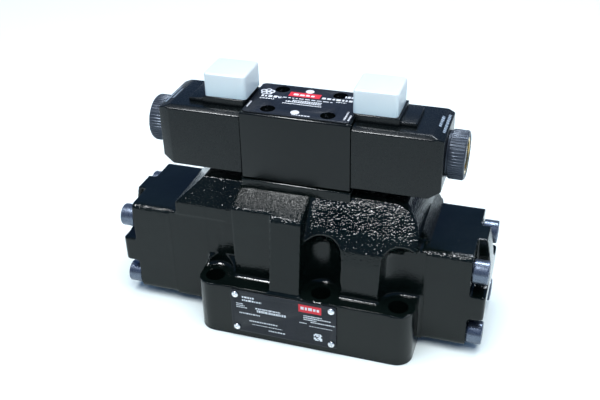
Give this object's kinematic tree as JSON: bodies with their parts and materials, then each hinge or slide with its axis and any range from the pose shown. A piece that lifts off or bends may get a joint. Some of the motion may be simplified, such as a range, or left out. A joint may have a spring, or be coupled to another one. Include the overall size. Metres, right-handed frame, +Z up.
{
  "type": "solenoid directional control valve",
  "caption": "Pilot-operated solenoid directional control valve: a cast spool body with end covers, and a small double-solenoid pilot valve bolted on its top.",
  "frame": {"origin": "on the mounting face, under the centre of the main spool and midway between the two rows of mounting bolts", "axes": "+X along both spools, towards the right solenoid as seen from the rating plate; +Y away from the rating plate; +Z up, away from the mounting face"},
  "size_m": [0.2636, 0.1169, 0.1785],
  "materials": {
    "cast_enamel": "gloss black enamel over rough cast iron",
    "smooth_enamel": "satin black enamel on a milled block",
    "moulded_black": "satin moulded",
    "bare_steel": "ground",
    "black_steel": "black oxide",
    "spring_steel": "bright wire",
    "seal_rubber": "matte",
    "plate_paint": "printed black sheet",
    "rivet_steel": "bright",
    "brass": "turned",
    "cap_plastic": "milky translucent"
  },
  "bodies": {
    "valve_body": {"main_body": "cast_enamel", "left_end_cover": "cast_enamel", "right_end_cover": "cast_enamel", "pilot_body": "smooth_enamel", "rating_plate": "plate_paint", "pilot_label": "plate_paint", "left_coil": "moulded_black", "left_terminal_block": "moulded_black", "left_core_tube": "bare_steel", "left_centering_spring": "spring_steel", "left_return_spring": "spring_steel", "left_cover_seal": "seal_rubber", "left_cover_screw_1": "black_steel", "left_cover_screw_2": "black_steel", "left_cover_screw_3": "black_steel", "left_cover_screw_4": "black_steel", "right_coil": "moulded_black", "right_terminal_block": "moulded_black", "right_core_tube": "bare_steel", "right_centering_spring": "spring_steel", "right_return_spring": "spring_steel", "right_cover_seal": "seal_rubber", "right_cover_screw_1": "black_steel", "right_cover_screw_2": "black_steel", "right_cover_screw_3": "black_steel", "right_cover_screw_4": "black_steel", "pilot_screw_1": "black_steel", "plate_rivet_1": "rivet_steel", "pilot_screw_2": "black_steel", "plate_rivet_2": "rivet_steel", "pilot_screw_3": "black_steel", "plate_rivet_3": "rivet_steel", "pilot_screw_4": "black_steel", "plate_rivet_4": "rivet_steel", "port_seal_p": "seal_rubber", "port_seal_t": "seal_rubber", "port_seal_a": "seal_rubber", "port_seal_b": "seal_rubber", "port_seal_x": "seal_rubber", "port_seal_y": "seal_rubber", "port_seal_l": "seal_rubber"},
    "main_spool": {"main_spool": "bare_steel", "left_spring_washer": "bare_steel", "right_spring_washer": "bare_steel"},
    "pilot_spool": {"pilot_spool": "bare_steel", "left_spring_retainer": "bare_steel", "right_spring_retainer": "bare_steel"},
    "left_armature": {"left_armature": "bare_steel"},
    "left_override_pin": {"left_override_pin": "bare_steel"},
    "left_cap": {"left_protective_cap": "cap_plastic"},
    "left_nut": {"left_coil_nut": "moulded_black", "left_nut_insert": "brass"},
    "right_armature": {"right_armature": "bare_steel"},
    "right_override_pin": {"right_override_pin": "bare_steel"},
    "right_cap": {"right_protective_cap": "cap_plastic"},
    "right_nut": {"right_coil_nut": "moulded_black", "right_nut_insert": "brass"}
  },
  "joints": [
    {"name": "main_spool_slide", "type": "slide", "parent": "valve_body", "child": "main_spool", "axis": [1, 0, 0], "range_m": [-0.01, 0.01], "stiffness_N_per_m": 6000, "deforming": ["left_centering_spring", "right_centering_spring"]},
    {"name": "pilot_spool_slide", "type": "slide", "parent": "valve_body", "child": "pilot_spool", "axis": [1, 0, 0], "range_m": [-0.0029, 0.0029], "stiffness_N_per_m": 2500, "deforming": ["left_return_spring", "right_return_spring"]},
    {"name": "left_armature_slide", "type": "slide", "parent": "valve_body", "child": "left_armature", "axis": [1, 0, 0], "range_m": [-0.0029, 0.0029]},
    {"name": "right_armature_slide", "type": "slide", "parent": "valve_body", "child": "right_armature", "axis": [1, 0, 0], "range_m": [-0.0029, 0.0029]},
    {"name": "left_override_push", "type": "slide", "parent": "valve_body", "child": "left_override_pin", "axis": [1, 0, 0], "range_m": [0, 0.003], "stiffness_N_per_m": 400},
    {"name": "right_override_push", "type": "slide", "parent": "valve_body", "child": "right_override_pin", "axis": [-1, 0, 0], "range_m": [0, 0.003], "stiffness_N_per_m": 400},
    {"name": "left_cap_lift", "type": "slide", "parent": "valve_body", "child": "left_cap", "axis": [0, 0, 1], "range_m": [0, 0.03]},
    {"name": "right_cap_lift", "type": "slide", "parent": "valve_body", "child": "right_cap", "axis": [0, 0, 1], "range_m": [0, 0.03]},
    {"name": "left_nut_turn", "type": "hinge", "parent": "valve_body", "child": "left_nut", "pos_m": [-0.102, 0, 0.135], "axis": [-1, 0, 0], "range_deg": [0, 360]},
    {"name": "right_nut_turn", "type": "hinge", "parent": "valve_body", "child": "right_nut", "pos_m": [0.102, 0, 0.135], "axis": [1, 0, 0], "range_deg": [0, 360]}
  ],
  "couplings": [
    {"joint": "left_armature_slide", "follows": "pilot_spool_slide", "ratio": 1},
    {"joint": "right_armature_slide", "follows": "pilot_spool_slide", "ratio": 1}
  ]
}
